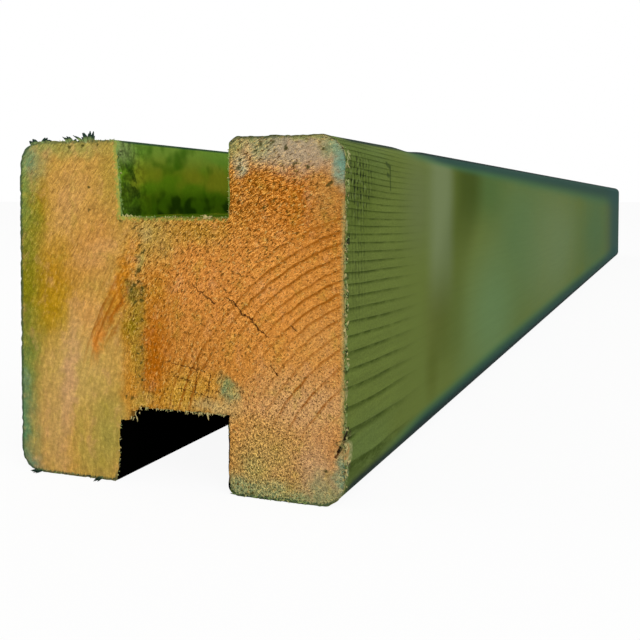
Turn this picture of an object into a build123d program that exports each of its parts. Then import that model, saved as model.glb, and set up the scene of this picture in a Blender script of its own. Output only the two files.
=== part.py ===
# Intermediate fence post: one length of planed softwood whose section is an H.
# A slot for the edge of a fence panel is machined down two opposite faces, which
# leaves a web between two flanges. The post lies as it would in a stack: +Y runs
# along it, the slots face up and down, and it rests on the edges of its flanges.
# The origin is at the middle of the post's length and width, on the ground.

import os

from build123d import *

# The planed timber
post_length = 1200.0
post_width = 95.0
post_height = 92.0
outer_arris_radius = 6.5

# The two panel slots, upper and lower, cut alike. The right wall is upright, and
# the left wall leans out towards the slot's mouth.
slot_depth = 20.5
slot_root_width = 31.5
slot_wall_lean = 1.4
right_flange_thickness = 31.2
right_lip_radius = 2.8
left_lip_radius = 0.8

# The crosscut at the -Y end was made from both sides, and its two cuts meet in a
# small step that runs across the web beside the left flange.
saw_step_depth = 0.6
saw_step_from_left_flange = 5.2

# The planer left a shallow hollow across the right flange's upper edge, near the
# same end.
planer_hollow_depth = 0.6
planer_hollow_length = 44.0
planer_hollow_from_end = 80.0

# A drying split opens on the right face at the same end, and runs down into the
# flange towards its lower edge.
split_mouth_height = 16.2
split_mouth_width = 1.2
split_inward = 3.2
split_downward = 4.4
split_length = 14.0

# How far a cutting tool reaches past the wood that it leaves
tool_overrun = 5.0

# Two points closer than this are one corner
place_tolerance = 0.001

right_face = post_width / 2
left_face = -post_width / 2
right_wall = right_face - right_flange_thickness
left_wall_at_root = right_wall - slot_root_width
left_wall_at_mouth = left_wall_at_root - slot_wall_lean
sawn_end = -post_length / 2


def lower_slot():
    """The lower slot's section, with its mouth run out past the lower face."""
    lean_past_mouth = slot_wall_lean * tool_overrun / slot_depth
    corners = [
        (right_wall, slot_depth),
        (left_wall_at_root, slot_depth),
        (left_wall_at_mouth - lean_past_mouth, -tool_overrun),
        (right_wall, -tool_overrun),
    ]
    return make_face(Polyline(*corners, close=True))


def face_corners(section, x):
    """The section's corners at x that lie on its upper or its lower face."""
    return [
        corner
        for corner in section.vertices()
        if abs(corner.X - x) < place_tolerance
        and min(abs(corner.Y), abs(corner.Y - post_height)) < place_tolerance
    ]


def post_section():
    """The H-shaped section, standing on z = 0, with every long edge eased."""
    blank = Pos(0, post_height / 2) * Rectangle(post_width, post_height)
    upper_slot = Pos(0, post_height) * mirror(lower_slot(), about=Plane.XZ)
    section = blank - lower_slot() - upper_slot
    eased_edges = (
        (left_face, outer_arris_radius),
        (left_wall_at_mouth, left_lip_radius),
        (right_wall, right_lip_radius),
        (right_face, outer_arris_radius),
    )
    for x, radius in eased_edges:
        section = fillet(face_corners(section, x), radius)
    return section


def saw_step():
    """The wood that the deeper of the two saw cuts took, right of the step."""
    step_x = left_wall_at_root + saw_step_from_left_flange
    width = right_face - step_x + tool_overrun
    depth = saw_step_depth + tool_overrun
    height = post_height + 2 * tool_overrun
    centre = (step_x + width / 2, sawn_end + saw_step_depth - depth / 2, post_height / 2)
    return Pos(*centre) * Box(width, depth, height)


def planer_hollow():
    """The shallow arc that the planer swept out of the right flange's upper edge."""
    half_chord = planer_hollow_length / 2
    sweep_radius = (half_chord**2 + planer_hollow_depth**2) / (2 * planer_hollow_depth)
    length = right_flange_thickness + 2 * tool_overrun
    centre = (
        right_wall - tool_overrun + length / 2,
        sawn_end + planer_hollow_from_end,
        post_height - planer_hollow_depth + sweep_radius,
    )
    return Pos(*centre) * Rot(0, 90, 0) * Cylinder(sweep_radius, length)


def drying_split():
    """The open split: a thin wedge at the sawn end that closes to a point inside."""
    run_out = tool_overrun / split_inward
    mouth_x = right_face + tool_overrun
    mouth_z = split_mouth_height + split_downward * run_out
    half_mouth = split_mouth_width * (1 + run_out) / 2
    root = (right_face - split_inward, split_mouth_height - split_downward)
    opening = Polyline(root, (mouth_x, mouth_z - half_mouth), (mouth_x, mouth_z + half_mouth), close=True)
    at_end = Plane.XZ.offset(-sawn_end) * make_face(opening)
    return loft([at_end, Vertex(root[0], sawn_end + split_length, root[1])], ruled=True)


def fence_post():
    """The finished post: the section run out to its length, then the marks on it."""
    run = Plane.XZ.offset(-post_length / 2) * post_section()
    post = extrude(run, amount=post_length)
    return post - saw_step() - planer_hollow() - drying_split()


os.makedirs("parts", exist_ok=True)
export_step(fence_post(), "parts/fence_post.step")
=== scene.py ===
import math
import random

import bmesh
import bpy
import numpy as np
from mathutils import Matrix, Vector, noise
from mathutils.kdtree import KDTree


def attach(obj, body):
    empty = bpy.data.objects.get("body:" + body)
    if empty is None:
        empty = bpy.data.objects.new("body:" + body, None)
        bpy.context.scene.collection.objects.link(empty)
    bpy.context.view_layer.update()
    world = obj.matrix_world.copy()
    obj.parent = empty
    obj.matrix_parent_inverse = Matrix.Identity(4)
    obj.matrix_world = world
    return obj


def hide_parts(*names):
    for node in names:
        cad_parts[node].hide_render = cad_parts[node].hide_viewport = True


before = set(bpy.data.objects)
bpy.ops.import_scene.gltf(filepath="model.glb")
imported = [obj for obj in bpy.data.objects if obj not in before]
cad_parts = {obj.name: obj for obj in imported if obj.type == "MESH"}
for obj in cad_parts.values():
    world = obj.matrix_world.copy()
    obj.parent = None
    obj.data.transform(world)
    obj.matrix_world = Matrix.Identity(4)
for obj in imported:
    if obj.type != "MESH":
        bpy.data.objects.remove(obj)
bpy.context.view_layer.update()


# The viewpoint
# The camera stands a hand's breadth in front of the sawn end, level with the upper slot
# and a little to the right. Its lens and shift give the picture's own framing.
mm = 0.001
picture_width = 640
sensor_width = 36.0
focal_length_pixels = 993.5
principal_point = (260, 236.8)
camera_place = (122.03 * mm, -829.74 * mm, 75.88 * mm)
camera_azimuth = math.radians(22.843)
camera_elevation = math.radians(2.113)

camera_data = bpy.data.cameras.new("camera")
camera_data.sensor_width = sensor_width
camera_data.lens = focal_length_pixels / picture_width * sensor_width
camera_data.shift_x = 0.5 - principal_point[0] / picture_width
camera_data.shift_y = principal_point[1] / picture_width - 0.5
camera_data.clip_start = 10 * mm
camera = bpy.data.objects.new("camera", camera_data)
camera.location = camera_place
camera.rotation_euler = (math.pi / 2 - camera_elevation, 0, camera_azimuth)
bpy.context.collection.objects.link(camera)
bpy.context.scene.camera = camera
bpy.context.scene.view_settings.view_transform = "Standard"


# The studio
# A plain white floor that runs out of sight, under an even white sky, with one broad
# soft lamp in front and to the right of the post and a weaker one on its left.
floor_half_width = 40.0
floor_white = (0.82, 0.82, 0.81, 1)
floor_shown_white = 0.93
pure_white = (1, 1, 1, 1)
sky_strength = 0.66
key_place = (1.5, -2.3, 1.7)
key_size = 1.6
key_power = 44.0
fill_place = (-2.2, -1.2, 1.3)
fill_size = 1.6
fill_power = 9.0
lamp_target = (0, -0.5, 0.05)


class Value:
    """A number, place or colour on its way through a finish, with Python's arithmetic."""

    def __init__(self, finish, socket):
        self.finish = finish
        self.socket = socket

    def worked(self, operation, *numbers):
        return self.finish.add("ShaderNodeMath", {"operation": operation}, dict(enumerate(numbers)))

    def __add__(self, other):
        return self.worked("ADD", self, other)

    __radd__ = __add__

    def __sub__(self, other):
        return self.worked("SUBTRACT", self, other)

    def __rsub__(self, other):
        return self.worked("SUBTRACT", other, self)

    def __mul__(self, other):
        return self.worked("MULTIPLY", self, other)

    __rmul__ = __mul__

    def __truediv__(self, other):
        return self.worked("DIVIDE", self, other)

    def __pow__(self, other):
        return self.worked("POWER", self, other)

    def __rpow__(self, other):
        return self.worked("POWER", other, self)

    def fraction(self):
        return self.worked("FRACT", self)

    def clamped(self):
        """The number held between 0 and 1."""
        return self.worked("MINIMUM", self.worked("MAXIMUM", self, 0), 1)

    def rise(self, low, high):
        """0 at low and 1 at high, eased at both ends. It falls where high is the lower."""
        ends = {0: self, 1: low, 2: high}
        return self.finish.add("ShaderNodeMapRange", {"interpolation_type": "SMOOTHSTEP"}, ends)

    def split(self):
        """The three parts of a place."""
        return [self.finish.add("ShaderNodeSeparateXYZ", {}, {0: self}, part) for part in range(3)]

    def vector(self, operation, inputs, output=0):
        return self.finish.add("ShaderNodeVectorMath", {"operation": operation}, inputs, output)

    def scaled(self, factor):
        """A place or colour with all three parts multiplied alike."""
        return self.vector("SCALE", {0: self, "Scale": factor})

    def times(self, other):
        """A place or colour multiplied part by part."""
        return self.vector("MULTIPLY", {0: self, 1: other})

    def moved(self, other):
        """A place with another place added to it."""
        return self.vector("ADD", {0: self, 1: other})

    def dot(self, direction):
        """How far a place lies along a direction."""
        return self.vector("DOT_PRODUCT", {0: self, 1: direction}, "Value")

    def length(self):
        return self.vector("LENGTH", {0: self}, "Value")

    def shaken(self, scale, detail, roughness, reach):
        """A place moved about by soft noise, by up to half the reach each way."""
        shift = self.finish.cloud(self, scale, detail, roughness, "Color").moved((-0.5, -0.5, -0.5))
        return self.moved(shift.scaled(reach))

    def under(self, *layers):
        """This colour with tints laid over it in turn, each as thickly as its cover says."""
        colour = self
        for tint, cover in layers:
            inputs = {0: cover, 6: colour, 7: (*tint, 1)}
            colour = self.finish.add("ShaderNodeMix", {"data_type": "RGBA"}, inputs, 2)
        return colour


class Finish:
    """The nodes of a material or of the sky. One method adds any node to them."""

    def __init__(self, owner):
        owner.use_nodes = True
        self.owner = owner
        self.tree = owner.node_tree
        self.tree.nodes.clear()

    def add(self, kind, settings, inputs, output=0):
        node = self.tree.nodes.new(kind)
        for name, setting in settings.items():
            setattr(node, name, setting)
        for key, value in inputs.items():
            if isinstance(value, Value):
                self.tree.links.new(value.socket, node.inputs[key])
            else:
                node.inputs[key].default_value = value
        return Value(self, node.outputs[output]) if len(node.outputs) else node

    def cloud(self, place, scale, detail=2.0, roughness=0.5, output="Fac"):
        """Soft uneven noise, about 0.5 on the whole."""
        inputs = {"Vector": place, "Scale": scale, "Detail": detail, "Roughness": roughness}
        return self.add("ShaderNodeTexNoise", {}, inputs, output)

    def place(self, *parts):
        return self.add("ShaderNodeCombineXYZ", {}, dict(enumerate(parts)))


def seen_directly(finish):
    """1 where the camera looks straight at a thing, or at its mirror image."""
    kinds = ("Is Camera Ray", "Is Glossy Ray", "Is Transmission Ray")
    camera_ray, glossy_ray, transmission_ray = [
        finish.add("ShaderNodeLightPath", {}, {}, kind) for kind in kinds
    ]
    return (camera_ray + glossy_ray + transmission_ray).rise(0, 1)


sky = bpy.data.worlds.new("white_sky")
bpy.context.scene.world = sky
sky_finish = Finish(sky)
sky_light, sky_shown = [
    sky_finish.add("ShaderNodeBackground", {}, {"Color": pure_white, "Strength": strength})
    for strength in (sky_strength, 1)
]
sky_mixed = sky_finish.add(
    "ShaderNodeMixShader", {}, {0: seen_directly(sky_finish), 1: sky_light, 2: sky_shown}
)
sky_finish.add("ShaderNodeOutputWorld", {}, {"Surface": sky_mixed})

floor_finish = Finish(bpy.data.materials.new("studio_floor"))
floor_paint = floor_finish.add("ShaderNodeBsdfDiffuse", {}, {"Color": floor_white})
floor_glow = floor_finish.add("ShaderNodeEmission", {}, {"Color": pure_white, "Strength": 1})
floor_mixed = floor_finish.add(
    "ShaderNodeMixShader",
    {},
    {0: seen_directly(floor_finish) * floor_shown_white, 1: floor_paint, 2: floor_glow},
)
floor_finish.add("ShaderNodeOutputMaterial", {}, {"Surface": floor_mixed})


def object_from(mesh, name, materials):
    """A new object whose mesh is filled from a bmesh."""
    data = bpy.data.meshes.new(name)
    mesh.to_mesh(data)
    mesh.free()
    made = bpy.data.objects.new(name, data)
    for material in materials:
        data.materials.append(material)
    bpy.context.collection.objects.link(made)
    return made


floor_mesh = bmesh.new()
bmesh.ops.create_grid(floor_mesh, x_segments=1, y_segments=1, size=floor_half_width)
floor = object_from(floor_mesh, "studio_floor", [floor_finish.owner])


def soft_lamp(name, place, size, power):
    """A square area lamp that faces the sawn end."""
    lamp_data = bpy.data.lights.new(name, "AREA")
    lamp_data.size = size
    lamp_data.energy = power
    lamp = bpy.data.objects.new(name, lamp_data)
    lamp.location = place
    aim = Vector(lamp_target) - Vector(place)
    lamp.rotation_euler = aim.to_track_quat("-Z", "Y").to_euler()
    bpy.context.collection.objects.link(lamp)


soft_lamp("key_lamp", key_place, key_size, key_power)
soft_lamp("fill_lamp", fill_place, fill_size, fill_power)


# The post
# One length of planed softwood, pressure treated green, with a slot for a fence panel
# machined down two opposite faces. The near end was sawn through after treatment, so it
# shows the orange wood inside, and the saw left it rough.
post_length = 1200 * mm
post_width = 95 * mm
post_height = 92 * mm
outer_arris_radius = 6.5 * mm
slot_depth = 20.5 * mm
slot_root_width = 31.5 * mm
slot_wall_lean = 1.4 * mm
right_flange_thickness = 31.2 * mm
right_lip_radius = 2.8 * mm
left_lip_radius = 0.8 * mm

right_face = post_width / 2
left_face = -post_width / 2
right_wall = right_face - right_flange_thickness
left_wall = right_wall - slot_root_width
slot_floor = post_height - slot_depth
sawn_end = -post_length / 2
far_end = post_length / 2

# The mesh: fine cells over the sawn end, and rows that lengthen away from it. Two
# places closer than the least gap are taken as one.
cell = 0.55 * mm
least_gap = 0.001 * mm
first_row = 0.4 * mm
near_rows_end = 100 * mm
near_row = 4 * mm
far_row = 60 * mm
row_growth = 1.13
far_rounding = 4 * mm
far_round_rows = 5

# The saw came from both sides, and its two cuts meet in a step beside the left flange
saw_step_depth = 0.6 * mm
saw_step_top = -10.7 * mm
saw_step_bottom = -9.3 * mm
saw_step_raggedness = 0.55 * mm
saw_step_wobbles = (1.1 * mm, 4.5 * mm)

# The relief that the saw and the planer left
end_roughness = 0.34 * mm
torn_grain_across = 1.3
torn_grain_along = 3.2
end_crumb = 0.9 * mm
rim_wear = 0.55 * mm
rim_wear_reach = 1.8 * mm
rim_chip = 1.4 * mm
rim_wave = 5 * mm
planer_hollow_depth = 0.6 * mm
planer_hollow_from_end = 80 * mm
planer_hollow_length = 44 * mm
planer_hollow_height = 8 * mm

# The drying split in the right face
split_mouth_height = 16.2 * mm
split_mouth_width = 1.2 * mm
split_inward = 3.2 * mm
split_length = 14 * mm

# The tree's own centre, in mm, which lay outside this post. Turns about it become
# lengths along a ring by way of one usual ring's radius.
pith_x = 67.9
pith_z = 5.1
usual_ring = 70


def shared_cells(lines):
    """The number of cells between each two lines of the section."""
    return [round((after - before) / cell) for before, after in zip(lines, lines[1:])]


def line_places(index, counts, lines):
    """Where the grid's line of that index lies between the section's lines."""
    return float(np.interp(index, np.concatenate(([0], np.cumsum(counts))), lines))


def eased(place, corner, outward, radius):
    """A place beside a square corner, moved as the corner is rounded over."""
    across = 1 + (place.x - corner[0]) * outward[0] / radius
    up = 1 + (place.z - corner[1]) * outward[1] / radius
    if not (0 < across < 1.01 and 0 < up < 1.01):
        return
    across = min(across, 1)
    up = min(up, 1)
    place.x += (across * math.sqrt(1 - up**2 / 2) - across) * radius * outward[0]
    place.z += (up * math.sqrt(1 - across**2 / 2) - up) * radius * outward[1]


def section_sheet():
    """The section's H as a sheet of small square cells, on the plane of the sawn end."""
    across_lines = [left_face, left_wall, right_wall, right_face]
    up_lines = [0, slot_depth, slot_floor, post_height]
    across_counts = shared_cells(across_lines)
    up_counts = shared_cells(up_lines)
    sheet = bmesh.new()
    bmesh.ops.create_grid(sheet, x_segments=sum(across_counts), y_segments=sum(up_counts), size=0.5)
    for vertex in sheet.verts:
        column = round((vertex.co.x + 0.5) * sum(across_counts))
        row = round((vertex.co.y + 0.5) * sum(up_counts))
        x = line_places(column, across_counts, across_lines)
        z = line_places(row, up_counts, up_lines)
        vertex.co = (x, sawn_end, z)
    in_slots = [
        face
        for face in sheet.faces
        if left_wall < face.calc_center_median().x < right_wall
        and not slot_depth < face.calc_center_median().z < slot_floor
    ]
    bmesh.ops.delete(sheet, geom=in_slots, context="FACES")
    corners = (
        (left_face, -1, outer_arris_radius),
        (left_wall, 1, left_lip_radius),
        (right_wall, -1, right_lip_radius),
        (right_face, 1, outer_arris_radius),
    )
    for vertex in sheet.verts:
        for x, side, radius in corners:
            eased(vertex.co, (x, 0), (side, -1), radius)
            eased(vertex.co, (x, post_height), (side, 1), radius)
        past_web = max(slot_depth - vertex.co.z, vertex.co.z - slot_floor, 0) / slot_depth
        on_flange = 1 - min(abs(vertex.co.x - left_wall) / (left_wall - left_face), 1)
        if vertex.co.x < (left_wall + right_wall) / 2:
            vertex.co.x -= slot_wall_lean * past_web * on_flange
    return sheet


def row_places():
    """Each row's distance from the sawn end: close together at first, then far apart."""
    places = []
    place = 0
    step = first_row
    while place < post_length:
        place += step
        places.append(place)
        longest = near_row if place < near_rows_end else far_row
        step = min(step * row_growth, longest)
    rounding_start = post_length - far_rounding
    places = [place for place in places if place < rounding_start - mm]
    for row in range(far_round_rows + 1):
        places.append(rounding_start + far_rounding * math.sin(math.pi / 2 * row / far_round_rows))
    return places


def run_out(sheet):
    """The sheet's edge run out row by row to the far end, and closed there."""
    edges = [edge for edge in sheet.edges if edge.is_boundary]
    before = 0
    for place in row_places():
        made = bmesh.ops.extrude_edge_only(sheet, edges=edges)["geom"]
        ends = [part for part in made if isinstance(part, bmesh.types.BMVert)]
        bmesh.ops.translate(sheet, verts=ends, vec=(0, place - before, 0))
        edges = [part for part in made if isinstance(part, bmesh.types.BMEdge) and part.is_boundary]
        before = place
    bmesh.ops.contextual_create(sheet, geom=edges)
    bmesh.ops.recalc_face_normals(sheet, faces=sheet.faces)


def seam_distance(x, z):
    """How far a place lies to the right of the ragged line where the two saw cuts meet."""
    height = (z - slot_depth) / (slot_floor - slot_depth)
    seam = saw_step_bottom + (saw_step_top - saw_step_bottom) * height
    for index, wobble in enumerate(saw_step_wobbles):
        seam += saw_step_raggedness * noise.noise(Vector((5 * index, 3, z / wobble)))
    return x - seam


def end_relief(x, z):
    """How deep the saw bit into the end: torn grain that follows the rings, and crumbs."""
    stepped = min(max(seam_distance(x, z) / cell, 0), 1) * saw_step_depth
    from_pith = Vector((x / mm - pith_x, z / mm - pith_z))
    along_ring = usual_ring * math.atan2(from_pith.y, -from_pith.x) / torn_grain_along
    grain = noise.noise(Vector((from_pith.length / torn_grain_across, along_ring, 0)))
    crumbs = noise.noise(Vector((x, 7, z)) / end_crumb)
    return stepped + end_roughness * (0.5 + 0.35 * grain + 0.3 * crumbs)


def hollow_depth(place):
    """How deep the planer dipped into the right flange's upper edge."""
    from_middle = (place.y - sawn_end - planer_hollow_from_end) / (planer_hollow_length / 2)
    if abs(from_middle) > 1 or place.x < 0:
        return 0
    on_top = min(max((place.z - post_height) / planer_hollow_height + 1, 0), 1)
    return planer_hollow_depth * (1 + math.cos(math.pi * from_middle)) / 2 * on_top


def far_round_depth(along):
    """How far the worn edge of the far end has drawn in at a distance along the post."""
    past = min((along - post_length) / far_rounding + 1, 1)
    return far_rounding * (1 - math.sqrt(1 - past**2)) if past > 0 else 0


def split_depth(place):
    """How far the drying split has opened into the right face at a place on it."""
    along = (place.y - sawn_end) / split_length
    off_line = abs(place.z - split_mouth_height) / (split_mouth_width * 0.75)
    if along > 1 or off_line > 1 or place.x < right_face - mm:
        return 0
    return split_inward * (1 - along) * (1 - off_line)


def worn(body):
    """Every vertex moved into the wood by as much as saw, planer and handling took."""
    moves = {}
    for vertex in body.verts:
        place = vertex.co
        along = place.y - sawn_end
        rim = any(len(face.verts) == 4 and abs(face.normal.y) < 0.5 for face in vertex.link_faces)
        inward = -vertex.normal
        if along < least_gap and not rim:
            moves[vertex] = Vector((0, end_relief(place.x, place.z), 0))
            continue
        inward.y = 0
        inward.normalize()
        fade = math.exp(-along / rim_wear_reach)
        ragged = 0.6 * noise.noise(Vector((place.x, along * 2, place.z)) / rim_chip)
        ragged += 0.5 * noise.noise(Vector((place.x, along, place.z)) / rim_wave)
        move = inward * (rim_wear * ragged * fade)
        move += inward * (hollow_depth(place) + far_round_depth(along))
        move.x -= split_depth(place)
        if along < least_gap:
            move.y += end_relief(place.x, place.z) + rim_wear * 0.8 * abs(ragged)
        moves[vertex] = move
    for vertex, move in moves.items():
        vertex.co += move


def measured(body):
    """Each vertex of the end told how far it is, in mm, from the rim."""
    rim = body.verts.layers.float.new("rim")
    on_end = [vertex for vertex in body.verts if vertex.co.y < sawn_end + least_gap]
    on_rim = [vertex for vertex in on_end if any(face.normal.y > -0.5 for face in vertex.link_faces)]
    places = KDTree(len(on_rim))
    for index, vertex in enumerate(on_rim):
        places.insert(vertex.co, index)
    places.balance()
    for vertex in on_end:
        vertex[rim] = places.find(vertex.co)[2] / mm


end_finish, planed_finish, slot_finish, far_finish = range(4)
body = section_sheet()
run_out(body)
body.normal_update()
measured(body)
worn(body)
body.normal_update()
for face in body.faces:
    middle = face.calc_center_median()
    in_slot = left_wall - 2 * mm < middle.x < right_wall + 0.3 * mm
    in_web = slot_depth + 0.5 * mm < middle.z < slot_floor - 0.5 * mm
    on_step = in_web and abs(seam_distance(middle.x, middle.z)) < 3 * cell
    if middle.y > far_end - 0.1 * mm:
        face.material_index = far_finish
    elif middle.y < sawn_end + 1.6 * mm and (abs(face.normal.y) > 0.6 or on_step):
        face.material_index = end_finish
    elif in_slot and abs(face.normal.y) < 0.9:
        face.material_index = slot_finish
    else:
        face.material_index = planed_finish
    face.smooth = True


# The finishes of the post. Every one works in mm: across, along from the sawn end, up
def wood_place(finish):
    """The place in mm, with its length counted from the sawn end."""
    here = finish.add("ShaderNodeTexCoord", {}, {}, "Object").scaled(1 / mm)
    return here.moved((0, post_length / 2 / mm, 0))


def around_pith(finish, place):
    """A place as its distance from the tree's centre, the way round, and the length."""
    x, along, z = place.split()
    dropped = 3 * (1 - 0.9835**along)
    drifted = (finish.cloud(finish.place(0, along, 0), 0.004, 1) - 0.5) * along.rise(60, 500) * 20
    right = x - pith_x
    up = z - pith_z + dropped + drifted
    radius = (right * right + up * up) ** 0.5
    way_round = up.worked("ARCTAN2", up, pith_x - x) * usual_ring
    return radius, way_round, along


def ring_lines(radius, start=0.62):
    """The dark late wood of each year: it deepens outwards and ends sharply."""
    past = radius - 25
    year = (past * 0.27 + past * past * past * 0.0000413).fraction()
    return year.rise(start, 0.94) * year.rise(1.0, 0.95)


def ring_cloud(rings, across, along, level, detail, roughness):
    """Noise drawn out along the growth rings. Each level holds noise of its own."""
    radius, way_round, _ = rings
    place = radius.finish.place(radius * across, way_round * along, level)
    return radius.finish.cloud(place, 1.0, detail, roughness)


def wood_shader(finish, colour, roughness, height, depth, sheen=0.03):
    """The surface: its colour, how dull it is, and its relief, whose depth is in metres."""
    bump = finish.add("ShaderNodeBump", {}, {"Height": height, "Distance": depth, "Strength": 1.0})
    inputs = {"Base Color": colour, "Roughness": roughness, "Specular IOR Level": sheen, "Normal": bump}
    surface = finish.add("ShaderNodeBsdfPrincipled", {}, inputs)
    finish.add("ShaderNodeOutputMaterial", {}, {"Surface": surface})


def plain_colour(finish, tint):
    """One colour to start from."""
    colour = finish.add("ShaderNodeRGB", {}, {})
    colour.socket.default_value = (*tint, 1)
    return colour


def oval(place, middle, height, half_width, half_height, tilt=0, inner=0.1, outer=1.45):
    """1 inside a soft-edged oval on a surface, and 0 well outside it."""
    lie, stand = math.cos(math.radians(tilt)), math.sin(math.radians(tilt))
    off = place.moved((-middle, 0, -height))
    across = off.dot((lie / half_width, 0, stand / half_width))
    up = off.dot((-stand / half_height, 0, lie / half_height))
    return place.finish.place(across, up).length().rise(outer, inner)


def ovals(total, place, spots):
    """Soft ovals added to a number, each by its own amount."""
    for amount, *spot in spots:
        total = oval(place, *spot) * amount + total
    return total


def stained(colour, place, stains):
    """Soft ovals of stain laid over a colour, in their order."""
    for tint, strength, *spot in stains:
        colour = colour.under((tint, oval(place, *spot) * strength))
    return colour


def line_between(x, z, start, stop, width):
    """1 on the straight line between two places, and 0 beyond its width."""
    run_x, run_z = stop[0] - start[0], stop[1] - start[1]
    run_squared = run_x**2 + run_z**2
    past_x, past_z = x - start[0], z - start[1]
    share = (past_x * (run_x / run_squared) + past_z * (run_z / run_squared)).clamped()
    off_x = past_x - share * run_x
    off_z = past_z - share * run_z
    return ((off_x * off_x + off_z * off_z) ** 0.5).rise(width, width * 0.3)


def lines_between(x, z, lines):
    """Several such lines at once: the two ends of each, and its width."""
    total = 0
    for start, stop, width in lines:
        total = line_between(x, z, start, stop, width) + total
    return total.clamped()


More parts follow.
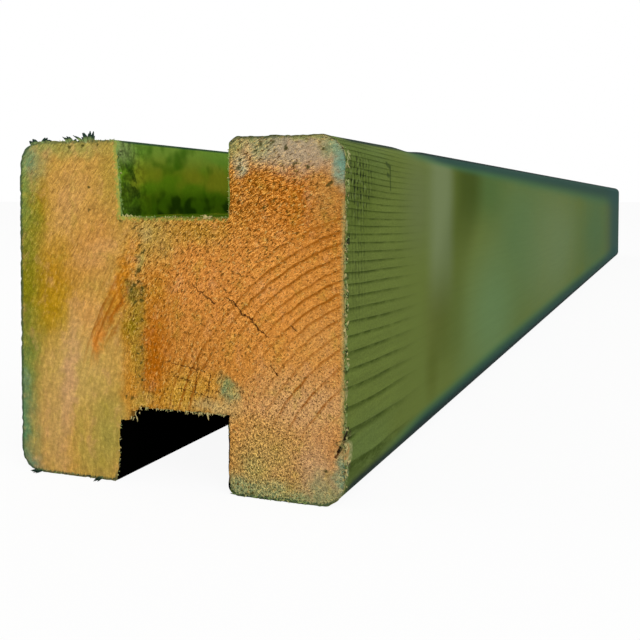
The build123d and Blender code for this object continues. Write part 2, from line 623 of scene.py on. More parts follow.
# The sawn end: orange wood, with the stains of the green treatment round its rim
sapwood_orange = (0.52, 0.2, 0.035)
flange_tan = (0.5, 0.28, 0.065)
late_wood = (0.26, 0.075, 0.002)
# The pale tan painted over the torn grain's brightest parts as a highlight
grain_highlight_tan = (0.66, 0.41, 0.135)
splinter_tan = (0.78, 0.5, 0.17)
pit_brown = (0.11, 0.045, 0.003)
seam_olive = (0.33, 0.19, 0.03)
speck_green = (0.04, 0.04, 0.008)
crack_brown = (0.06, 0.018, 0.003)
split_black = (0.008, 0.003, 0.001)
contrast = 2.72
end_stains = (
    # colour, strength, place across and up, half width and height, tilt in degrees
    ((0.42, 0.115, 0.003), 0.92, 32, 75, 24, 14, 8),
    ((0.45, 0.22, 0.06), 0.7, 42.5, 77, 5.5, 9),
    ((0.34, 0.105, 0.003), 0.85, 21, 79, 8, 11, -20),
    ((0.67, 0.26, 0.054), 0.88, 28, 52, 17, 19),
    ((0.58, 0.21, 0.042), 0.8, 9, 54, 17, 13),
    ((0.59, 0.275, 0.08), 0.75, 42, 40, 8, 9),
    ((0.61, 0.265, 0.06), 0.7, 32, 31, 10, 9),
    ((0.43, 0.165, 0.008), 0.7, -5, 50, 6, 10),
    ((0.49, 0.26, 0.03), 0.9, 2, 24, 16, 8),
    ((0.56, 0.305, 0.14), 0.92, 37, 24, 19, 9),
    ((0.38, 0.245, 0.085), 0.95, 26, 8.5, 13, 12),
    ((0.49, 0.28, 0.15), 0.9, 40, 9, 7, 9),
    ((0.39, 0.25, 0.055), 0.95, -6, 68, 8, 9, 25),
    ((0.37, 0.19, 0.02), 0.75, 7, 68, 11, 4),
    ((0.54, 0.29, 0.07), 0.9, -31, 80, 17, 14),
    ((0.56, 0.29, 0.11), 0.6, -31, 75, 4, 9, -15),
    ((0.38, 0.255, 0.042), 0.8, -18, 77, 4.2, 17),
    ((0.36, 0.22, 0.012), 0.95, -42, 74, 4.5, 12),
    ((0.43, 0.215, 0.01), 0.95, -37, 54, 10, 13, -35),
    ((0.39, 0.22, 0.001), 0.88, -37, 44, 6.5, 9.5),
    ((0.53, 0.24, 0.06), 0.8, -23, 64, 8, 14, -30),
    ((0.6, 0.31, 0.11), 0.6, -22.5, 61.5, 9, 3.4, 20),
    ((0.65, 0.31, 0.1), 0.8, -25.5, 41, 5, 9),
    ((0.49, 0.2, 0.015), 0.7, -18, 48.5, 3.2, 6.5, -20),
    ((0.51, 0.185, 0.009), 0.95, -14.4, 55, 2.9, 11, -16),
    ((0.41, 0.175, 0.008), 0.8, -13.4, 40, 2.4, 9),
    ((0.5, 0.33, 0.1), 0.95, -29, 29, 13, 14),
    ((0.55, 0.3, 0.16), 0.8, -32.3, 24, 3, 22, -6),
    ((0.4, 0.29, 0.06), 0.7, -28.5, 12, 1.8, 10),
    ((0.47, 0.29, 0.1), 0.8, -37, 12, 6, 18),
    ((0.35, 0.27, 0.06), 1.0, -19.5, 12, 7, 14),
    ((0.42, 0.12, 0.002), 1.0, -5.5, 34, 5.4, 14),
    ((0.48, 0.2, 0.02), 0.9, -12.5, 27, 3, 9),
    ((0.6, 0.21, 0.03), 0.95, -22.2, 37.5, 1.7, 5.5, -14),
    ((0.36, 0.1, 0.003), 0.85, -17, 46, 1.0, 7, -32),
    ((0.38, 0.11, 0.004), 0.7, -21.5, 42.5, 0.8, 5, -32),
    ((0.36, 0.12, 0.004), 0.6, -18.5, 39, 0.7, 4.5, -28),
    ((0.26, 0.165, 0.004), 1.0, -11, 44, 3.4, 6.5, -8),
    ((0.34, 0.2, 0.015), 0.8, -10.3, 34, 2.2, 6),
    ((0.15, 0.115, 0.01), 0.92, -11.5, 51.2, 2.8, 3.4),
    ((0.36, 0.3, 0.08), 0.8, -9.6, 60, 1.5, 3.2),
    ((0.44, 0.32, 0.13), 0.5, -8, 67, 2.5, 3),
    ((0.42, 0.3, 0.06), 0.6, -8.9, 22.5, 3.6, 1.8),
    ((0.46, 0.32, 0.14), 0.9, 12.5, 22.5, 8, 3.4),
    ((0.21, 0.185, 0.005), 1.0, -46.2, 51, 7, 25),
    ((0.15, 0.2, 0.04), 0.95, -46.5, 30, 6, 15),
    ((0.2, 0.2, 0.02), 0.95, -46.5, 68, 6, 12),
    ((0.17, 0.26, 0.14), 1.0, -45.8, 87.5, 6.8, 9, -30),
    ((0.17, 0.24, 0.05), 1.0, -47, 78, 3.4, 11),
    ((0.22, 0.27, 0.09), 0.95, -40, 91.5, 5, 2.2, -12),
    ((0.31, 0.29, 0.075), 0.88, -31, 91, 17, 4),
    ((0.2, 0.29, 0.2), 0.9, -46.8, 25.5, 1.8, 3),
    ((0.085, 0.2, 0.1), 1.0, -47.8, 12, 6, 17),
    ((0.1, 0.19, 0.12), 0.9, -44, 1.5, 5, 3, -35),
    ((0.355, 0.325, 0.23), 1.0, 31, 89.5, 19, 6, -6),
    ((0.39, 0.285, 0.205), 0.9, 35.5, 86.8, 9, 5.4, -8),
    ((0.25, 0.26, 0.12), 0.7, 25, 90, 5, 3),
    ((0.26, 0.28, 0.1), 0.95, 31, 91.9, 19, 1.1, -1),
    ((0.23, 0.28, 0.15), 0.95, 44.8, 89, 4.6, 3.6, -40),
    ((0.28, 0.28, 0.11), 0.9, 17.5, 89, 3, 5),
    ((0.3, 0.31, 0.22), 0.9, 19.5, 84.5, 2.2, 2.4),
    ((0.17, 0.3, 0.24), 1.0, 46.6, 84.5, 3, 5.6),
    ((0.31, 0.26, 0.14), 0.9, 42, 4.5, 7, 6),
    ((0.22, 0.27, 0.14), 1.0, 30, 0.5, 24, 4.6),
    ((0.13, 0.28, 0.19), 1.0, 47.4, 7, 2.6, 8),
    ((0.2, 0.25, 0.13), 0.9, 20, 2, 7, 4),
    ((0.38, 0.29, 0.065), 0.6, -25, 6, 5, 6),
    ((0.26, 0.25, 0.09), 0.6, 23, 8, 4, 3),
    ((0.18, 0.23, 0.11), 1.0, 15.5, 28, 2.6, 2.6),
    ((0.2, 0.24, 0.12), 0.9, 17.5, 25.5, 2.4, 2.2),
)
# Holes and slashes where the wood tore out, dark green inside: their place, half width and
# height, and tilt
dark_specks = (
    (25.0, 89.8, 0.8, 0.5, 35),
    (23.6, 88.3, 0.7, 0.4),
    (28.3, 90.4, 1.0, 0.4, 40),
    (31.9, 89.0, 0.5, 0.8),
    (34.4, 85.0, 0.9, 0.5, 40),
    (37.7, 84.2, 0.7, 0.7),
    (41.7, 88.6, 0.9, 0.4, 30),
    (43.4, 79.9, 1.4, 0.5, 45),
    (19.0, 84.0, 0.8, 0.5),
    (19.5, 86.0, 0.5, 0.4),
    (28.6, 75.6, 0.5, 0.4),
    (26, 73.9, 0.7, 0.35, 50),
    (-10.9, 68.7, 1.2, 0.35, 45),
    (-10.1, 66.5, 0.3, 0.6),
    (-9.6, 63.8, 0.8, 0.35, 42),
    (-8.8, 62.1, 1.1, 0.4, 38),
    (-10.1, 60.8, 0.8, 0.3, 15),
    (-9.9, 57.4, 1.1, 0.45, 62),
    (-10.6, 55.8, 0.3, 0.4),
    (-11.2, 53.3, 0.75, 0.6, 20),
    (-12.1, 52.1, 0.8, 0.6, 20),
    (-10.0, 54.4, 0.4, 0.4),
    (-9.1, 52.3, 0.5, 0.8),
    (-9.3, 50.9, 0.45, 0.5),
    (-9.2, 49.3, 0.55, 0.7, 30),
    (-10.9, 48.8, 1.0, 0.5, 40),
    (-9.2, 44.1, 0.5, 0.7),
    (-9.1, 40.5, 0.3, 0.3),
    (-9.1, 36.6, 0.45, 1.0, -8),
    (-10.0, 35.2, 0.6, 0.3),
    (-9.2, 32.5, 0.35, 0.6),
    (-9.6, 29.2, 0.6, 0.35),
    (-9.0, 27.9, 0.5, 0.5),
    (-12.0, 23.0, 0.5, 0.6),
    (-13.6, 23.2, 0.3, 0.7),
    (-15.2, 70.4, 0.5, 0.5),
    (-31.2, 90.4, 0.6, 0.5),
    (-26.9, 90.6, 0.7, 0.5, 40),
    (-22.2, 90.8, 0.5, 0.3, 30),
    (-25.0, 79.4, 0.5, 0.4),
    (-25.0, 73.2, 0.45, 0.45),
    (20, 10.3, 0.7, 0.4, 40),
    (42.6, 8.9, 0.6, 0.5),
    (22.5, 1.0, 1.2, 0.5, 20),
)
# The years whose dark late wood shows most: the ring's radius and its strength
dark_years = (
    (28.6, 0.6), (32.6, 1.0), (36.6, 1.0), (40.5, 1.1), (43.6, 0.8), (46.8, 0.9), (49.7, 0.9),
    (52.5, 1.2), (55.5, 1.1), (57.9, 0.9), (60.9, 1.2), (64.1, 1.7), (66.7, 1.7), (69.8, 1.3),
    (72.6, 0.8), (75.3, 1.1), (77.3, 0.7), (79.2, 1.1), (81.0, 0.7), (82.8, 1.1), (85.4, 0.7),
    (87.2, 0.4), (88.9, 0.7), (91.2, 0.5), (93.3, 0.5), (95.4, 0.9), (97.4, 0.9), (100.2, 0.5),
)
# The drying checks, fine cracks that mostly run out from the tree's centre: the two ends
# of each, and its half width
drying_checks = (
    ((5.9, 54.0), (7.6, 52.5), 0.2),
    ((7.6, 52.5), (12.2, 49.3), 0.3),
    ((15.9, 50.7), (17.6, 50.0), 0.24),
    ((17.6, 50.0), (19.9, 46.9), 0.32),
    ((19.9, 46.9), (22.2, 46.0), 0.3),
    ((22.2, 46.0), (24.8, 43.0), 0.3),
    ((24.8, 43.0), (27.4, 41.2), 0.26),
    ((33.4, 44.5), (34.8, 43.2), 0.26),
    ((27.8, 34.2), (29.7, 31.8), 0.26),
    ((-2.0, 33.4), (9.5, 31.6), 0.15),
    ((-1.0, 29.8), (6.5, 28.6), 0.15),
    ((1.5, 26.8), (12.0, 24.6), 0.15),
    ((7.4, 33.0), (6.4, 23.6), 0.15),
    ((11.0, 31.0), (10.2, 23.5), 0.15),
    ((45.2, 12.6), (46.4, 15.2), 0.45),
)
# The open split's dark line, on the end and on the right side
split_on_end = ((46.0, 14.2), (48.0, 18.0), 0.75)
split_on_side = ((-0.5, 16.8), (3.4, 19.4), 0.8)
end = Finish(bpy.data.materials.new("sawn_end"))
end_place = wood_place(end)
end_x, _, end_z = end_place.split()
end_face = end.place(end_x, 0, end_z)
wandering = end_face.shaken(0.16, 3, 0.65, 8)
rings = around_pith(end, end_place)
rim = end.add("ShaderNodeAttribute", {"attribute_name": "rim"}, {}, "Fac")

# Where the torn grain is coarse, and where it lies flat: 0.3 is calm, 1.5 is shaggy
shaggy_spots = (
    # change, place, half width and height, tilt
    (1.1, 21, 79, 16, 15, -20),
    (-0.3, 40, 70, 8, 12),
    (0.7, -11.5, 42, 4, 30),
    (0.35, 8, 68, 14, 6),
    (1.25, 23, 9, 14, 16),
    (0.2, 34, 22, 14, 12),
    (0.3, 4, 26, 14, 9),
    (-0.6, 46.5, 82, 4, 9),
    (-0.2, -4, 38, 7, 12),
    (-0.5, 38, 50, 14, 15),
    (-0.7, 35, 88, 13, 5, -8),
    (-0.25, 41, 9, 8, 9),
)
past_seam = end_x.rise(-14, -6)
shagginess = past_seam * 0.68 + 0.15 + end_z.rise(20, 66) * 0.35
shagginess = ovals(shagginess, wandering, shaggy_spots)

# The torn grain itself: dashes along the rings, granules between them, and longer streaks
dashes = ring_cloud(rings, 2.2, 0.85, 0, 3, 0.7)
granules = end.cloud(end_face, 3.2, 2, 0.7)
clumps = ring_cloud(rings, 0.75, 0.3, 5, 3, 0.6)
pebbles = end.cloud(end_face, 0.95, 3, 0.65)
fine = (dashes.rise(0.32, 0.68) - 0.5) * 0.72 + (granules.rise(0.32, 0.68) - 0.5) * 0.75
coarse = (clumps.rise(0.3, 0.7) - 0.5) * 0.26 + (pebbles.rise(0.3, 0.7) - 0.5) * 0.3
lumpiness = 1.2 - past_seam * 0.3 + past_seam * end_z.rise(34, 22) * 0.6
texture = fine * shagginess + coarse * lumpiness
looseness = (shagginess - 0.15).clamped()
pits = ring_cloud(rings, 1.9, 0.9, 9, 1, 0.5).rise(0.6, 0.68) * looseness
splinters = ring_cloud(rings, 2.1, 0.8, 27, 1, 0.5).rise(0.63, 0.7) * looseness

# The rings, each darkening outwards and ending sharply, with breaks along it
ring_spots = (
    # strength, place, half width and height, tilt
    (1, 40, 52, 27, 24, 20),
    (0.75, 3, 32, 12, 14),
    (0.8, 38, 25, 15, 10),
    (1, -20, 45, 7, 14, -20),
    (0.15, -36, 40, 9, 30),
)
steep = (end_z - pith_z) / (pith_x - end_x)
wavy_radius = rings[0] + (end.cloud(end_face, 0.25, 2) - 0.5) * 1.3 - steep.rise(0.8, 0.3) * 1.2
late = 0
for year, strength in dark_years:
    inside = wavy_radius - year
    late = inside.rise(-1.0, 0.05) ** 2 * inside.rise(0.45, 0.12) * strength + late
ring_breaks = ring_cloud(rings, 0.1, 0.1, 50, 2, 0.6).rise(0.3, 0.52)
late = late * ovals(0, wandering, ring_spots).clamped() * (0.45 + ring_breaks * 0.55)

# Pink and olive tints a few mm across, then the torn grain's painted light and shade, with a pale
# painted highlight on its brightest parts
tints = end.cloud(end_face.times((0.22, 0, 0.16)), 1.0, 4, 0.65)
end_colour = plain_colour(end, sapwood_orange)
end_colour = end_colour.under((flange_tan, (end_x + (clumps - 0.5) * 14).rise(-6, -15)))
end_colour = stained(end_colour, wandering, end_stains).under(
    ((0.6, 0.3, 0.15), tints.rise(0.52, 0.7) * 0.3),
    ((0.36, 0.27, 0.03), tints.rise(0.48, 0.3) * 0.3),
)
end_colour = end_colour.scaled(contrast ** (texture - 0.07)).under(
    (grain_highlight_tan, texture.rise(0.1, 0.7) * 0.5),
    (late_wood, late.clamped() * 0.85),
    (splinter_tan, splinters * 0.6),
    (pit_brown, pits * 0.8),
)

# The seam between the two saw cuts: an olive strip that ends sharply on its right, with
# small dark slashes and holes where the wood tore, and the drying checks
frayed = end_face.shaken(1.1, 2, 0.6, 1.6)
frayed_x, _, frayed_z = frayed.split()
olive_strip = frayed_x.rise(-8.5, -8.9) * end_x.rise(-11.5, -9.6)
olive_strip = olive_strip * end_z.rise(21, 25) * end_z.rise(52, 49)
torn_out = 0
for speck in dark_specks:
    torn_out = oval(frayed, *speck, inner=0.3, outer=1.4) + torn_out
cracked = lines_between(frayed_x, frayed_z, drying_checks) * ring_breaks.rise(-1.0, 0.7)
end_colour = end_colour.under(
    (seam_olive, olive_strip * 0.4),
    (speck_green, torn_out.clamped() * 0.85),
    (crack_brown, cracked * 0.95),
    (split_black, line_between(end_x, end_z, *split_on_end)),
)

# The very rim keeps a dark line of the green treatment, broken where fibres came away,
# with paler wood on the right and green wood beside the upper slot
rim_line = (rim + (dashes - 0.5) * 1.6).rise(1.0, 0.4)
rim_green = end_x.rise(-40, -46) + end_z.rise(4, 0.5)
rim_green = rim_green + end_z.rise(87, 91.5) * 0.7 * end_x.rise(44, 26)
right_rim = end_x.rise(45.2, 47.2) * (rim + (granules - 0.5) * 3).rise(1.7, 0.3)
right_rim = right_rim * end_z.rise(12, 16) * end_z.rise(78, 74)
slot_rim = (rim + (pebbles - 0.5) * 6).rise(1.4, 0.1) * end_x.rise(-19, -17)
slot_rim = slot_rim * end_z.rise(69.5, 71) * end_x.rise(16, 15)
end_colour = end_colour.under(
    ((0.035, 0.07, 0.04), rim_line * rim_green.clamped() * 0.8),
    ((0.36, 0.32, 0.13), right_rim * 0.7),
    ((0.26, 0.34, 0.07), slot_rim * 0.7),
)
end_height = dashes * 0.5 + granules * 0.5 - pits * 0.6 + splinters * 0.4
wood_shader(end, end_colour.times((1.05, 1.06, 0.93)), 0.85, end_height, 0.35 * mm)

# The planed faces: sage green from the treatment, with the grain drawn along them
treated_green = (0.118, 0.158, 0.03)
grain_green = (0.03, 0.05, 0.003)
planed_stains = (
    # colour, strength, place along and up, half length and height, tilt
    ((0.084, 0.12, 0.016), 0.9, 12, 77, 20, 14),
    ((0.122, 0.156, 0.054), 0.7, 76, 76, 22, 18),
    ((0.1, 0.12, 0.02), 0.65, 102, 38, 21, 17),
    ((0.084, 0.108, 0.012), 0.6, 94, 19, 10, 10),
    ((0.12, 0.2, 0.07), 1.0, 210, 26, 70, 34),
    ((0.064, 0.127, 0.028), 0.8, 200, 80, 55, 16),
    ((0.09, 0.17, 0.06), 0.7, 300, 60, 90, 40),
    ((0.145, 0.214, 0.09), 0.72, 460, 45, 150, 45),
    ((0.068, 0.147, 0.052), 0.75, 800, 50, 180, 60),
)
knife_marks = (((37, 86), (41, 85)), ((41, 85), (41.5, 79)), ((38, 83), (40, 82.6)))
planed = Finish(bpy.data.materials.new("planed_faces"))
planed_place = wood_place(planed)
planed_x, along, planed_z = planed_place.split()
side_face = planed.place(along, 0, planed_z)
radius, _, _ = around_pith(planed, planed_place)
wavy_radius = radius + planed.cloud(planed_place.times((0.1, 0.02, 0.1)), 1.0, 1) - 0.5
fading = 0.03 + 0.97 * along.rise(80, 22)
grain_lines = ring_lines(wavy_radius) * fading
unbroken = planed.cloud(planed.place(along * 0.12, 5, planed_z * 0.5), 1.0, 3, 0.7).rise(0.3, 0.6)
patches = planed.cloud(planed_place.times((0.03, 0.012, 0.03)), 1.0, 2)
streaks = planed.cloud(planed_place.times((0.6, 0.03, 0.6)), 1.0, 2, 0.6)
pores = planed.cloud(planed_place.times((2.5, 0.8, 2.5)), 1.0, 2, 0.6)
shade = 0.96 + (streaks - 0.5) * (0.1 + fading * 0.4) + (pores - 0.5) * 0.7 * fading
on_side = planed_x.rise(42, 45)

planed_colour = plain_colour(planed, treated_green)
planed_colour = planed_colour.under(((0.1, 0.16, 0.045), patches.rise(0.42, 0.62) * 0.4))
planed_colour = stained(planed_colour, side_face, planed_stains)
planed_colour = planed_colour.under((grain_green, grain_lines * (0.3 + unbroken * 0.6)))
planed_colour = planed_colour.scaled(shade)

# A lighter band and a darker, slanting band across the right face, some 80 to 200 mm from the sawn end
light_band = along.rise(80, 102) * along.rise(134, 116) * on_side * planed_z.rise(32, 62)
slant = along + planed_z.rise(80, 40) * 32
dark_band = slant.rise(110, 148) * slant.rise(196, 160) * on_side
dark_band = dark_band * (planed_z.rise(12, 26) * 0.28 + planed_z.rise(50, 82) * 0.55)

# Fine dark ticks that the planer's knives left near the end, with paler ones between
jitter = planed.cloud(side_face, 0.5, 2) * 1.4
columns = ((along + planed_z * 0.06) * 0.4 + jitter).fraction()
rows = (planed_z * 0.5 + along * 0.01 + jitter * 0.5).fraction()
depth = 0.3 + ring_lines(wavy_radius, 0.2) * 0.8 + rows.rise(0.25, 0.5) * rows.rise(1.0, 0.8) * 0.35
ticks = columns.rise(0.45, 0.75) * columns.rise(1.0, 0.9) * depth
ticks = ticks * planed.cloud(side_face, 0.4, 2).rise(0.38, 0.52)
tick_zone = oval(side_face, 11, 62, 9, 18, inner=0.3, outer=1.3) * 0.45
tick_zone = (oval(side_face, 12, 80, 12, 8, inner=0.6, outer=1.3) + tick_zone).clamped()
pale_ticks = planed.cloud(side_face.times((1.0, 1.0, 0.5)), 0.9, 2).rise(0.54, 0.66) * tick_zone
planed_colour = planed_colour.under(
    ((0.16, 0.205, 0.09), light_band * 0.85),
    ((0.036, 0.058, 0.0004), dark_band),
    ((0.012, 0.02, 0.002), (ticks * 1.35).clamped() * tick_zone),
    ((0.21, 0.27, 0.08), pale_ticks * 0.5),
)
for start, stop in knife_marks:
    knife_mark = line_between(along, planed_z, start, stop, 0.9)
    planed_colour = planed_colour.under(((0.03, 0.05, 0.01), knife_mark * 0.75))

# The arrises darken to a blue green, and so does the far end. Pale wood shows where
# fibres broke away beside the sawn end.
right_arris = planed_x.rise(35, 42)
top_width = 1.2 + 0.0155 * along
low_width = 2.2 + 0.44 * along**0.5
low_reach = low_width + 0.1 * along**0.5
top_arris = (planed_z - 90.8).rise(top_width * -1.9, top_width * -0.1) * along.rise(40, 120)
low_arris = (planed_z - 4).rise(low_reach, low_width * 0.12) * along.rise(12, 90)
dark_arris = (top_arris + low_arris).clamped() * right_arris
edge_line = planed_z.rise(90.2, 91.2) * along.rise(4, 16) + planed_z.rise(7.0, 3.8) * along.rise(1, 8)
broken = planed.cloud(planed_place.times((0.8, 0.6, 0.8)), 1.0, 3, 0.65) - along * 0.12
planed_colour = planed_colour.under(
    ((0.04, 0.125, 0.055), dark_arris.rise(0, 0.6) * 0.62),
    ((0.016, 0.054, 0.042), dark_arris.rise(0.35, 1.0) * 0.95),
    ((0.016, 0.062, 0.055), along.rise(870, 1110) * (0.3 + on_side * 0.6)),
    ((0.006, 0.018, 0.017), edge_line.clamped() * right_arris * 0.9),
    ((0.33, 0.3, 0.12), broken.rise(0.36, 0.48) * on_side * 0.85),
)

# The torn places along the arris beside the sawn end
torn_dark = (0.008, 0.01, 0.004)
torn_green = (0.03, 0.045, 0.012)
torn_pale = (0.42, 0.36, 0.17)
chips = (
    # colour, strength, place along and up, half length and height, tilt
    ((0.36, 0.34, 0.16), 0.9, 3.6, 13.6, 3.4, 4.4, -15),
    ((0.42, 0.22, 0.07), 0.9, 2.6, 13.8, 2.2, 3.2, -15),
    ((0.26, 0.3, 0.16), 0.85, 2.2, 9.0, 1.8, 2.6),
    ((0.02, 0.012, 0.004), 0.95, 3.0, 17.4, 3.6, 0.7, 14),
    (torn_green, 0.9, 4.4, 10.2, 1.2, 1.2, 30),
    (torn_green, 0.8, 1.4, 7.2, 1.0, 0.8),
    (torn_pale, 0.6, 1.6, 20.5, 1.0, 2.0),
    (torn_green, 0.9, 2.2, 24.5, 0.9, 1.0),
    (torn_pale, 0.8, 1.8, 28.5, 1.1, 2.2),
    (torn_green, 0.9, 2.6, 31.2, 1.3, 0.7, 20),
    (torn_dark, 0.9, 2.2, 33.8, 1.2, 0.9),
    (torn_pale, 0.8, 3.0, 35.4, 1.6, 0.7, -30),
    (torn_dark, 0.9, 1.8, 38.9, 1.2, 0.8),
    (torn_pale, 0.8, 1.4, 42, 1.0, 2.4),
    (torn_green, 0.9, 2.4, 44.6, 0.9, 0.8),
    (torn_dark, 0.95, 2.2, 49.8, 1.2, 1.2),
    (torn_dark, 0.95, 2.6, 52.6, 1.3, 1.2),
    (torn_pale, 0.85, 1.8, 54.8, 1.3, 1.3),
    (torn_dark, 0.9, 2.2, 57, 1.3, 0.7),
    (torn_green, 0.85, 2.0, 61.6, 1.2, 1.3),
    (torn_dark, 1.0, 2.9, 66.2, 1.7, 1.9, 15),
    (torn_pale, 0.9, 1.6, 64.4, 1.2, 1.2),
    (torn_pale, 0.7, 1.4, 69.5, 0.9, 1.6),
    (torn_green, 0.8, 1.6, 73.8, 1.0, 0.7),
    ((0.3, 0.32, 0.1), 0.7, 2.6, 79.4, 1.7, 1.8),
    (torn_green, 0.8, 2.4, 80.4, 0.9, 1.0),
    ((0.55, 0.52, 0.25), 0.85, 4.0, 87.2, 1.3, 0.9, 30),
    ((0.5, 0.48, 0.22), 0.8, 2.4, 85.2, 0.7, 1.1),
    (torn_green, 0.8, 4.2, 84.8, 1.6, 0.7),
)
frayed_side = side_face.shaken(0.7, 3, 0.65, 3.4)
torn_grain = 0.25 + planed.cloud(planed_place, 1.5, 2, 0.6).rise(0.38, 0.55) * 0.75
for tint, strength, *spot in chips:
    chip = oval(frayed_side, *spot, inner=0.5, outer=1.2)
    planed_colour = planed_colour.under((tint, chip * on_side * torn_grain * strength))
split_mark = line_between(along, planed_z, *split_on_side) * on_side
planed_colour = planed_colour.under((split_black, split_mark))
wood_shader(planed, planed_colour, 0.8, grain_lines * -1 + pores * 0.5, 0.08 * mm)

# The slots: fresh green, with soft marks of the machining, and fibrous beside the end.
# Painted shade: near the end the lower slot lies in deep shadow, so its colour is painted all but black
# there, fading to a deep green further along.
slot_green = (0.1, 0.2, 0.006)
slot_tears = (
    ((2, 89), (5, 85.5), 1.2),
    ((6, 84.5), (10, 81), 1.0),
    ((3, 80), (10, 77.5), 1.8),
)
slot = Finish(bpy.data.materials.new("slot_faces"))
slot_place = wood_place(slot)
_, along, slot_z = slot_place.split()
slot_patches = slot.cloud(slot_place.times((0.1, 0.05, 0.12)), 1.0, 1)
smudges = slot.cloud(slot_place.times((0.1, 0.12, 0.15)), 1.0, 1, 0.5)
dark_blots = slot.cloud(slot_place.times((0.1, 0.13, 0.2)), 1.0, 1, 0.5).rise(0.46, 0.66)
low_wall = slot_z.rise(80.5, 75.5) * slot_z.rise(71.55, 71.9)
_, torn_along, torn_z = slot_place.shaken(0.5, 2, 0.6, 5).split()
slot_colour = plain_colour(slot, slot_green).under(
    ((0.21, 0.22, 0.012), slot_patches.rise(0.38, 0.62) * 0.8),
    ((0.18, 0.33, 0.045), slot_z.rise(83, 91) * 0.75),
    ((0.03, 0.11, 0.002), smudges.rise(0.48, 0.7) * 0.75),
    ((0.04, 0.1, 0.002), low_wall * 0.88),
    ((0.006, 0.022, 0.001), dark_blots * low_wall * 0.8),
    ((0.004, 0.02, 0.001), lines_between(torn_along, torn_z, slot_tears) * 0.75),
    ((0.065, 0.115, 0.012), along.rise(16, 3) * slot_z.rise(92, 86) * 0.45),
    ((0.16, 0.21, 0.07), along.rise(14, 4) * slot_z.rise(84, 89) * 0.8),
)
fibrous = slot.cloud(slot_place.times((0.8, 0.4, 0.5)), 1.0, 3, 0.7).rise(0.3, 0.7) - 0.5
near_fringe = slot.cloud(slot_place, 0.8, 3, 0.65) - along * 0.12
in_lower_slot = slot_z.rise(50, 45)
slot_colour = slot_colour.scaled(contrast ** (fibrous * (along.rise(20, 4) * 1.1 + 0.12))).under(
    ((0.23, 0.34, 0.09), near_fringe.rise(0.3, 0.46) * slot_z.rise(70, 72) * 0.85),
    ((0.03, 0.075, 0.004), slot_z.rise(71.6, 71.4) * along.rise(2, 6) * 0.85),
    ((0.01, 0.035, 0.03), slot_z.rise(91.0, 91.6) * along.rise(1, 6) * 0.85),
    # Painted shade in the lower slot: near-black by the sawn end, fading to a deep green further along
    ((0.0004, 0.0006, 0.0004), in_lower_slot * along.rise(170, 70)),
    ((0.012, 0.028, 0.003), in_lower_slot * along.rise(70, 170)),
)
wood_shader(slot, slot_colour, 0.8, smudges, 0.2 * mm, 0)

# The far end
back_tan = (0.36, 0.22, 0.055)
back = Finish(bpy.data.materials.new("far_end"))
rings = around_pith(back, wood_place(back))
back_lines = ring_lines(rings[0])
back_grain = ring_cloud(rings, 2, 0.8, 0, 2, 0.7)
back_colour = plain_colour(back, back_tan).scaled(1.1 - back_lines * 0.35 - (back_grain - 0.5) * 0.6)
wood_shader(back, back_colour, 0.8, back_lines + back_grain * 0.5, 0.1 * mm)

post_finishes = [end.owner, planed.owner, slot.owner, back.owner]
post = object_from(body, "post_body", post_finishes)
post.data.set_sharp_from_angle(angle=math.radians(40))
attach(post, "root")
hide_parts("fence_post")


# The torn corner of the lower slot
# The slot's cutter stopped short of one root corner at the sawn end and tore the wood
# there, so a ragged wedge of the post's own softwood still fills that corner.
torn_width = 6.3 * mm
torn_thick = 3.5 * mm
torn_thin = 0.9 * mm
torn_length = 7 * mm
torn_seat = 0.6 * mm
torn_cuts = 12
torn_rim_distance = 2


def torn_wedge():
    """A block with its free faces drawn in and roughened, its back faces in the wood."""
    wedge = bmesh.new()
    bmesh.ops.create_cube(wedge, size=1)
    bmesh.ops.subdivide_edges(wedge, edges=wedge.edges, cuts=torn_cuts, use_grid_fill=True)
    rim = wedge.verts.layers.float.new("rim")
    for vertex in wedge.verts:
        across, along, up = (part + 0.5 for part in vertex.co)
        thick = torn_thin + (torn_thick - torn_thin) * min(max((0.66 - across) / 0.12, 0), 1)
        thick *= (1 - along**2) * (1 if across < 0.92 else 0.5)
        ragged = 0.35 * mm * noise.noise(Vector((across * 9, along * 5, up * 4)))
        x = left_wall - 1.2 * mm + across * torn_width
        y = sawn_end + 0.1 * mm + along * torn_length
        z = slot_depth + torn_seat - (1 - up) * (thick + torn_seat + ragged)
        vertex.co = (x, y + (1 - along) * abs(ragged), z)
        vertex[rim] = torn_rim_distance
    bmesh.ops.recalc_face_normals(wedge, faces=wedge.faces)
    return wedge


torn_corner = object_from(torn_wedge(), "torn_corner", [end.owner])
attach(torn_corner, "root")
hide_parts("fence_post")


# The torn fibres
# Splinters and tufts of the post's own wood that the saw and the cutter pulled loose
# but didn't cut. They stand along the edges of the sawn end and along its seam.
fibre_seed = 11
fibre_sides = 5
fibre_joints = 4
# A fibre's tone runs from orange, below 0, by way of straw and pale green to dark green, 1
straw = 0
shuffle = random.Random(fibre_seed)
fibre_plans = []


def spread(low, high):
    return shuffle.uniform(low, high)


def fibre(root, heading, length, width, tone, tip_tone=None, curl=0.9):
    """One splinter's root and heading, its size in mm, and its tone at root and at tip."""
    bend = Vector((spread(-1, 1), spread(-1, 1), spread(-1, 1))) * curl
    across, along, up = root
    plan = {
        "place": Vector((across * mm, sawn_end + along * mm, up * mm)),
        "heading": Vector(heading).normalized(),
        "length": length * mm,
        "width": width * mm,
        "tones": (tone, tone if tip_tone is None else tip_tone),
        "bend": bend,
        "flat": 1,
        "joints": (0.86, 0.8, 0.7, 0.25),
    }
    fibre_plans.append(plan)
    return plan


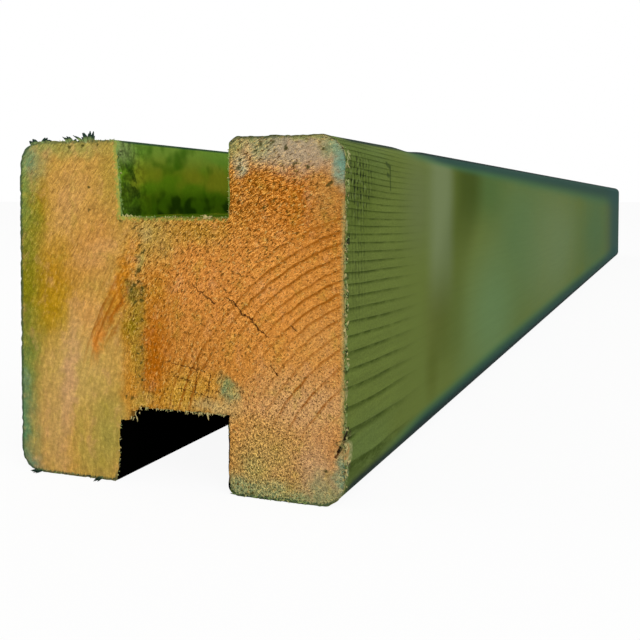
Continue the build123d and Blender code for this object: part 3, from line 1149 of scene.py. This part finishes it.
def grown(plans):
    """All the splinters, grown together joint by joint, thinner and more bent each time."""
    mesh = bmesh.new()
    tones = mesh.verts.layers.float.new("tone")
    owners = mesh.faces.layers.int.new("splinter")
    for index, plan in enumerate(plans):
        turn = plan["heading"].to_track_quat("Z", "Y").to_matrix().to_4x4()
        turn.translation = plan["place"]
        middle = Matrix.Translation(plan["place"])
        flattened = middle @ Matrix.Diagonal((1, plan["flat"], 1, 1)) @ middle.inverted() @ turn
        circle = bmesh.ops.create_circle(
            mesh, cap_ends=True, segments=fibre_sides, radius=plan["width"] / 2, matrix=flattened
        )["verts"]
        circle[0].link_faces[0][owners] = index
        for vertex in circle:
            vertex[tones] = plan["tones"][0]
    tips = list(mesh.faces)
    for joint in range(fibre_joints):
        tips = bmesh.ops.extrude_discrete_faces(mesh, faces=tips)["faces"]
        share = (joint + 1) / fibre_joints
        for tip in tips:
            plan = plans[tip[owners]]
            root_tone, tip_tone = plan["tones"]
            step = (plan["heading"] + plan["bend"] * share).normalized() * plan["length"] / fibre_joints
            thinner = plan["joints"][joint]
            centre = tip.calc_center_median()
            for vertex in tip.verts:
                vertex.co = centre + step + (vertex.co - centre) * thinner
                vertex[tones] = root_tone + (tip_tone - root_tone) * share
    bmesh.ops.recalc_face_normals(mesh, faces=mesh.faces)
    return mesh


def drawn(limits):
    """A number drawn between two limits, or the one number that is given."""
    return spread(*limits) if isinstance(limits, tuple) else limits


def scattered(count, root, heading, length, width, tone, **shape):
    """A number of splinters, their places, headings and sizes drawn between limits."""
    for _ in range(count):
        place = [drawn(limits) for limits in root]
        lean = [drawn(limits) for limits in heading]
        fibre(place, lean, drawn(length), drawn(width), drawn(tone), **shape)


# Where the edges of the sawn end lie, in mm, a little inside the wood
lower_slot_roof = 20.75
upper_slot_floor = 71.3
right_wall_edge = 16.45
top_edge = 91.75
ground_edge = 0.5
either_way = (-0.8, 0.8)


def rim_height(across):
    """How high the upper edge stands there, as it drops over the left arris."""
    return top_edge - max(abs(across) - 41, 0) ** 2 / 13


# The roof of the lower slot, with one long splinter, and the torn corner's edge
hanging = (either_way, (-0.5, 0.2), -1)
scattered(80, ((-9.6, 16), (0.1, 1.2), lower_slot_roof), hanging, (0.3, 1.1), (0.25, 0.5), (0, 0.4))
fibre((10.3, 0.4, 20.9), (0.25, -0.2, -1), 2.1, 0.7, straw, curl=0.5)
torn_edge = ((-16, -9.6), (0.2, 1.0), (17.4, 19.6))
scattered(18, torn_edge, ((-0.3, 0.8), -0.3, -1), (0.4, 1.2), 0.35, (0, 0.3))

# The left wall of the lower slot
for count in range(24):
    height = spread(1, 17)
    wall = (left_wall - slot_wall_lean * (1 - height * mm / slot_depth)) / mm
    scattered(1, (wall - 0.15, (0.2, 0.9), height), (1, -0.2, either_way), (0.3, 0.8), 0.35, (0, 0.5))

# The tufts on the left flange's upper edge, in blades
tufts = (
    # place across, width, length, lean, curl
    (-43.4, 1.3, 1.2, -0.5, -0.4),
    (-42.4, 1.4, 1.3, -0.1, -0.6),
    (-40.2, 1.2, 1.6, 0.3, 0.6),
    (-39.2, 1.5, 1.4, 0.8, 1.0),
    (-38.2, 1.4, 1.0, 1.4, 1.0),
    (-37.2, 1.2, 0.7, 1.8, 0.8),
    (-31.6, 1.1, 2.2, 0.1, -1.8),
    (-31.0, 1.2, 1.7, -0.1, -0.8),
    (-30.3, 0.9, 0.9, 0.4, 0.6),
    (-27.2, 0.7, 3.1, -0.5, -1.2),
    (-26.5, 0.9, 1.5, -0.3, -0.6),
    (-25.9, 1.2, 2.6, 0.0, -0.6),
    (-25.3, 1.3, 2.1, 0.1, -0.2),
    (-24.8, 1.1, 2.8, 0.0, 0.1),
    (-24.4, 0.7, 1.6, 0.1, 0.2),
)
for across, width, length, lean, curl in tufts:
    for depth in (0.5, 1.2):
        root = (across + spread(-0.2, 0.2), depth + spread(-0.2, 0.2), rim_height(across) - 0.45)
        size = length * spread(0.8, 1.0) + 0.7
        plan = fibre(root, (lean, spread(-0.2, 0.2), 1), size, width, 0.3, spread(1.1, 1.4))
        plan["bend"] = Vector((curl, 0, 0))
        plan["flat"] = 0.4
        plan["joints"] = (1.0, 0.95, 0.75, 0.35)

# The rest of the upper edges, the slot's floor and its walls
for count in range(60):
    across = spread(-44, -17)
    root = (across, (0.2, 0.8), rim_height(across))
    scattered(1, root, (either_way, -0.5, 1), (0.3, 0.7), 0.4, (0.3, 1))
standing = (either_way, -0.4, 1)
scattered(54, ((-15.4, 16), (0.5, 1.1), upper_slot_floor), standing, (0.25, 0.75), 0.36, (0, 0.6))
floor_blades = (
    # place across, lean, length
    (9.3, 0.8, 1.6),
    (9.7, 0.2, 1.9),
    (10.2, -0.3, 1.3),
    (10.7, 0.9, 1.1),
    (11.2, -0.6, 0.9),
)
for across, lean, length in floor_blades:
    fibre((across, 0.8, upper_slot_floor - 0.1), (lean, -0.2, 1), length, 0.85, straw, 0.2, curl=1.3)
for across in (-14.6, -14.0, -13.1, -12.5, -11.8):
    root = (across, 0.7, upper_slot_floor - 0.1)
    scattered(1, root, ((-0.5, 0.5), -0.3, 1), (0.7, 1.3), 0.8, 0.1, tip_tone=0.4)
scattered(30, ((-16.8, -15.6), (0.4, 1.1), (71, 90)), (1, -0.3, either_way), (0.3, 0.8), 0.4, (0.2, 0.8))
leftward = (-1, -0.2, either_way)
scattered(30, (right_wall_edge, (0.6, 1.2), (72, 89)), leftward, (0.25, 0.7), 0.35, (0, 0.4))
scattered(20, (right_wall_edge, (0.6, 1.2), (3, 20)), leftward, (0.25, 0.5), 0.35, (0.1, 0.6))

# The seam between the two saw cuts
for count in range(64):
    height = spread(22, 71)
    share = (height * mm - slot_depth) / (slot_floor - slot_depth)
    across = (saw_step_bottom + (saw_step_top - saw_step_bottom) * share) / mm
    heading = (spread(0.1, 0.8), -0.9, spread(0.2, 1.2))
    root = ((across - 0.3, across + 1.0), 0.75, height)
    scattered(1, root, heading, (0.4, 0.9), (0.25, 0.45), (-0.6, -0.2))

# The right arris, where slivers lie back over the side and beside the drying split
arris_lean = ((0.0, 0.3), (0.2, 1.2), (-0.9, 0.9))
scattered(90, (47.35, (0.3, 2.4), (5, 87)), arris_lean, (0.5, 1.5), (0.5, 1.0), (0, 0.7), curl=0.25)
for height in (9.2, 10.9, 11.6, 13.1, 14.4, 15.3):
    split_lean = (0.12, 1.2, (-0.2, 0.7))
    scattered(1, (47.1, (0.2, 3.0), height), split_lean, (1.5, 4.5), (1.0, 1.8), (0, 0.3), curl=0.2)

# Two small tufts that lie forward from the left flange's lower edge, on the ground
for middle in (-41.6, -22.0):
    root = ((middle - 0.9, middle + 0.9), 0.4, 0.55)
    scattered(7, root, ((-0.5, 0.4), -1, -0.1), (2.0, 3.6), 0.8, 0.7, tip_tone=1.2, curl=0.3)

# The lower edges, which stay clear of the ground and of the slot
for count in range(110):
    across = spread(-44, 44)
    if not -17 < across < 17.5:
        root = (across, (0.4, 1.0), ground_edge)
        scattered(1, root, ((-1, 1), -0.8, (-0.15, 0.1)), (0.4, 1.7), 0.42, (0.3, 1), curl=0.5)

fibres = grown(fibre_plans)
for vertex in fibres.verts:
    vertex.co.z = max(vertex.co.z, 0.05 * mm)
for face in fibres.faces:
    face.smooth = True

torn = Finish(bpy.data.materials.new("torn_fibres"))
tone = torn.add("ShaderNodeAttribute", {"attribute_name": "tone"}, {}, "Fac")
mottle = torn.cloud(wood_place(torn), 1.8, 2)
torn_colour = plain_colour(torn, (0.46, 0.38, 0.16)).under(
    ((0.44, 0.24, 0.05), tone.rise(0, -0.4)),
    ((0.2, 0.27, 0.09), tone.rise(0.1, 0.55)),
    ((0.015, 0.035, 0.025), tone.rise(0.6, 0.95)),
)
wood_shader(torn, torn_colour.scaled(0.5 + mottle), 0.85, mottle, 0.1 * mm)
torn_fibres = object_from(fibres, "torn_fibres", [torn.owner])
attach(torn_fibres, "root")
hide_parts("fence_post")
